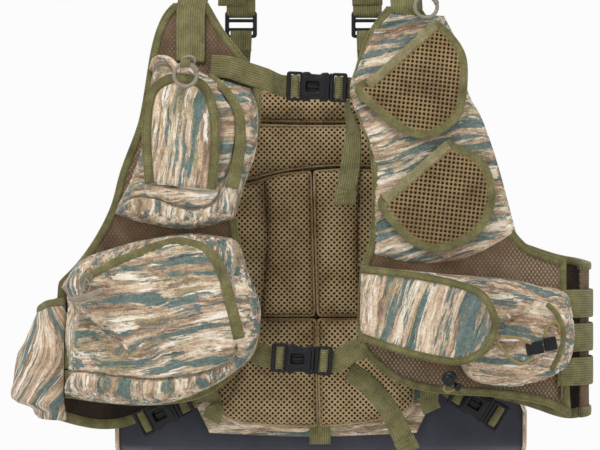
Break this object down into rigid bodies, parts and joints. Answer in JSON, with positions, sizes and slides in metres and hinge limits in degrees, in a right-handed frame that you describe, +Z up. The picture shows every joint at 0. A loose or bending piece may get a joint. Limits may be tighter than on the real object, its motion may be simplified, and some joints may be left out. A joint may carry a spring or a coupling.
{
  "type": "strap vest",
  "caption": "Camouflage strap vest for hunting or fishing, with padded mesh back, front pockets, chest and waist buckles, game bag and drop-down seat.",
  "frame": {"origin": "top middle of the shoulder straps, where the wearer's shoulders or a hanger carry the vest", "axes": "+Z up, -Y to the wearer's front, +X to the wearer's left"},
  "size_m": [0.672, 0.3171, 0.914],
  "materials": {
    "camo": "streaked bark camouflage, woven",
    "air_mesh": "perforated tan mesh over dark foam",
    "brown_mesh": "fine dark brown mesh",
    "tan_net": "open tan net over a dark lining",
    "webbing": "ribbed olive webbing",
    "grey_cloth": "smooth charcoal cloth",
    "foam": "cut foam edge",
    "plastic": "moulded black plastic, slight sheen",
    "ring_plastic": "moulded grey-tan plastic",
    "zip_metal": "dull zip slider"
  },
  "bodies": {
    "vest": {"back_shell": "camo", "back_pad_top": "air_mesh", "back_pad_shoulder": "air_mesh", "back_pad_right": "air_mesh", "back_pad_left": "air_mesh", "lumbar_pad_right": "air_mesh", "lumbar_pad_left": "air_mesh", "game_bag": "camo", "right_front_panel": "brown_mesh", "left_front_panel": "brown_mesh", "right_side_wing": "brown_mesh", "left_side_wing": "brown_mesh", "right_side_ladder": "webbing", "left_side_ladder": "webbing", "call_pocket": "camo", "zip_pocket": "camo", "bottle_pocket": "camo", "left_chest_overlay": "camo", "mesh_pocket_upper": "tan_net", "mesh_pocket_lower": "tan_net", "call_holster": "camo", "chest_buckle_plug": "plastic", "waist_buckle_plug": "plastic", "chest_strap_right": "webbing", "chest_strap_left": "webbing", "waist_strap_right": "webbing", "waist_strap_left": "webbing", "chest_strap_tail": "webbing", "waist_strap_tail": "webbing", "right_shoulder_strap": "webbing", "left_shoulder_strap": "webbing", "right_ladder_lock": "plastic", "left_ladder_lock": "plastic", "right_back_strap": "webbing", "left_back_strap": "webbing", "cord_lock": "plastic", "right_hip_plug": "plastic", "left_hip_socket": "plastic", "right_hip_strap": "webbing", "left_hip_strap": "webbing", "seat_hanger": "grey_cloth"},
    "chest_socket": {"chest_buckle_socket": "plastic"},
    "waist_socket": {"waist_buckle_socket": "plastic"},
    "chest_arm_upper": {"chest_buckle_arm_upper": "plastic"},
    "chest_arm_lower": {"chest_buckle_arm_lower": "plastic"},
    "waist_arm_upper": {"waist_buckle_arm_upper": "plastic"},
    "waist_arm_lower": {"waist_buckle_arm_lower": "plastic"},
    "seat_link": {"seat_fold": "grey_cloth"},
    "seat": {"seat_foam": "foam", "seat_cover_front": "grey_cloth", "seat_cover_back": "camo"},
    "call_flap": {"call_flap": "camo"},
    "holster_flap": {"holster_flap": "camo"},
    "zip_slider": {"zip_slider": "zip_metal"},
    "zip_pull": {"zip_pull": "ring_plastic"},
    "right_ring": {"right_ring": "ring_plastic"},
    "left_ring": {"left_ring": "ring_plastic"},
    "right_hip_socket": {"right_hip_socket": "plastic"},
    "left_hip_plug": {"left_hip_plug": "plastic"},
    "cord_button": {"cord_lock_button": "plastic"}
  },
  "joints": [
    {"name": "chest_release", "type": "slide", "parent": "vest", "child": "chest_socket", "axis": [-0.9994, 0, 0.0349], "range_m": [0, 0.028], "deforming": ["chest_strap_right"]},
    {"name": "chest_squeeze_upper", "type": "hinge", "parent": "vest", "child": "chest_arm_upper", "pos_m": [0.02092, -0.06, -0.16495], "axis": [0, -1, 0], "range_deg": [0, 7], "stiffness_Nm_per_rad": 0.7},
    {"name": "chest_squeeze_lower", "type": "hinge", "parent": "vest", "child": "chest_arm_lower", "pos_m": [0.02026, -0.06, -0.18393], "axis": [0, 1, 0], "range_deg": [0, 7], "stiffness_Nm_per_rad": 0.7},
    {"name": "waist_release", "type": "slide", "parent": "vest", "child": "waist_socket", "axis": [-0.9976, 0, 0.0698], "range_m": [0, 0.028], "deforming": ["waist_strap_right"]},
    {"name": "waist_squeeze_upper", "type": "hinge", "parent": "vest", "child": "waist_arm_upper", "pos_m": [0.00423, -0.07, -0.4724], "axis": [0, -1, 0], "range_deg": [0, 7], "stiffness_Nm_per_rad": 0.7},
    {"name": "waist_squeeze_lower", "type": "hinge", "parent": "vest", "child": "waist_arm_lower", "pos_m": [0.00291, -0.07, -0.49136], "axis": [0, 1, 0], "range_deg": [0, 7], "stiffness_Nm_per_rad": 0.7},
    {"name": "seat_stow", "type": "hinge", "parent": "vest", "child": "seat_link", "pos_m": [0.014, 0.13, -0.6], "axis": [1, 0, 0], "range_deg": [0, 172]},
    {"name": "seat_spread", "type": "hinge", "parent": "seat_link", "child": "seat", "pos_m": [0.014, 0.13, -0.61], "axis": [1, 0, 0], "range_deg": [-82, 0]},
    {"name": "call_flap_lift", "type": "hinge", "parent": "vest", "child": "call_flap", "pos_m": [-0.149, -0.107, -0.1645], "axis": [-1, 0, 0], "range_deg": [0, 30]},
    {"name": "holster_flap_open", "type": "hinge", "parent": "vest", "child": "holster_flap", "pos_m": [0.0555, -0.098, -0.432], "axis": [0, 0, -1], "range_deg": [0, 150]},
    {"name": "zip_run", "type": "hinge", "parent": "vest", "child": "zip_slider", "pos_m": [-0.132, -0.1218, -0.555], "axis": [0, 1, 0], "range_deg": [0, 36]},
    {"name": "zip_pull_swing", "type": "hinge", "parent": "zip_slider", "child": "zip_pull", "pos_m": [-0.24583, -0.1288, -0.38813], "axis": [-1, 0, 0], "range_deg": [0, 90]},
    {"name": "right_ring_swing", "type": "hinge", "parent": "vest", "child": "right_ring", "pos_m": [-0.137, -0.123, -0.1525], "axis": [-1, 0, 0], "range_deg": [0, 90]},
    {"name": "left_ring_swing", "type": "hinge", "parent": "vest", "child": "left_ring", "pos_m": [0.131, -0.066, -0.0715], "axis": [-1, 0, 0], "range_deg": [0, 90]},
    {"name": "right_hip_release", "type": "slide", "parent": "vest", "child": "right_hip_socket", "axis": [-0.891, 0, -0.454], "range_m": [0, 0.028]},
    {"name": "left_hip_release", "type": "slide", "parent": "vest", "child": "left_hip_plug", "axis": [0.848, 0, -0.5299], "range_m": [0, 0.028]},
    {"name": "cord_button_press", "type": "slide", "parent": "vest", "child": "cord_button", "axis": [0.3429, 0.9394, 0], "range_m": [0, 0.0025], "stiffness_N_per_m": 400}
  ]
}
